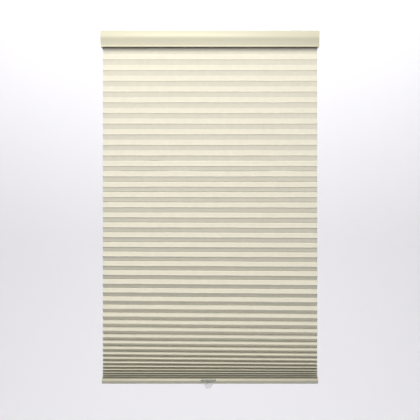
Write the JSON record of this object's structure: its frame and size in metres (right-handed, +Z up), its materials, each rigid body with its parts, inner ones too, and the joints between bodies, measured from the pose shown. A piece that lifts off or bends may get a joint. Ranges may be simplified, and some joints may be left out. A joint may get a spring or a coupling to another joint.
{
  "type": "pleated blind",
  "caption": "Cordless honeycomb pleated blind with a curved headrail, spring lift, bottom rail and clear pull handle.",
  "frame": {"origin": "centre of the four bracket screw holes, on the top face of the brackets", "axes": "+Z up, X across the blind, -Y the side that faces the room; the blind hangs down from the origin"},
  "size_m": [0.508, 0.0456, 0.8302],
  "materials": {
    "rail_paint": "satin cream powder coat on aluminium",
    "cap_plastic": "satin",
    "fabric": "spun-bonded polyester",
    "strip_plastic": "extruded",
    "clear_plastic": "clear moulded",
    "zinc_steel": "zinc plated",
    "bar_steel": "bright drawn",
    "spring_steel": "rolled",
    "rod_aluminium": "drawn",
    "mechanism_plastic": "moulded",
    "cord": "braided polyester"
  },
  "bodies": {
    "headrail_assembly": {"headrail": "rail_paint", "headrail_end_cap_left": "cap_plastic", "headrail_end_cap_right": "cap_plastic", "mounting_bracket_left": "zinc_steel", "mounting_bracket_right": "zinc_steel", "honeycomb_fabric": "fabric", "fabric_top_strip": "strip_plastic", "spool_cradle_left": "mechanism_plastic", "spool_cradle_right": "mechanism_plastic", "spring_motor_housing": "mechanism_plastic", "spring_motor_cover": "mechanism_plastic", "motor_cover_screws": "bar_steel", "constant_force_spring": "spring_steel", "lift_cord_left": "cord", "lift_cord_right": "cord"},
    "bottom_rail_assembly": {"bottom_rail": "rail_paint", "bottom_rail_end_cap_left": "cap_plastic", "bottom_rail_end_cap_right": "cap_plastic", "fabric_bottom_strip": "strip_plastic", "bottom_rail_weight_bar": "bar_steel", "pull_handle": "clear_plastic", "cord_anchor_left": "mechanism_plastic", "cord_anchor_right": "mechanism_plastic"},
    "lift_rod_assembly": {"lift_rod": "rod_aluminium", "cord_spool_left": "mechanism_plastic", "cord_spool_right": "mechanism_plastic", "spring_output_drum": "mechanism_plastic"},
    "storage_drum": {"spring_storage_drum": "mechanism_plastic"}
  },
  "joints": [
    {"name": "blind_lift", "type": "slide", "parent": "headrail_assembly", "child": "bottom_rail_assembly", "axis": [0, 0, 1], "range_m": [0, 0.71], "deforming": ["honeycomb_fabric", "lift_cord_left", "lift_cord_right"]},
    {"name": "lift_rod_spin", "type": "hinge", "parent": "headrail_assembly", "child": "lift_rod_assembly", "pos_m": [0, 0.0076, -0.01775], "axis": [1, 0, 0], "range_deg": [-5360, 0]},
    {"name": "storage_drum_spin", "type": "hinge", "parent": "headrail_assembly", "child": "storage_drum", "pos_m": [0, -0.0104, -0.01775], "axis": [1, 0, 0], "range_deg": [0, 6270]}
  ],
  "couplings": [
    {"joint": "lift_rod_spin", "follows": "blind_lift", "rad_per_m": -131.58},
    {"joint": "storage_drum_spin", "follows": "blind_lift", "rad_per_m": 153.95}
  ]
}
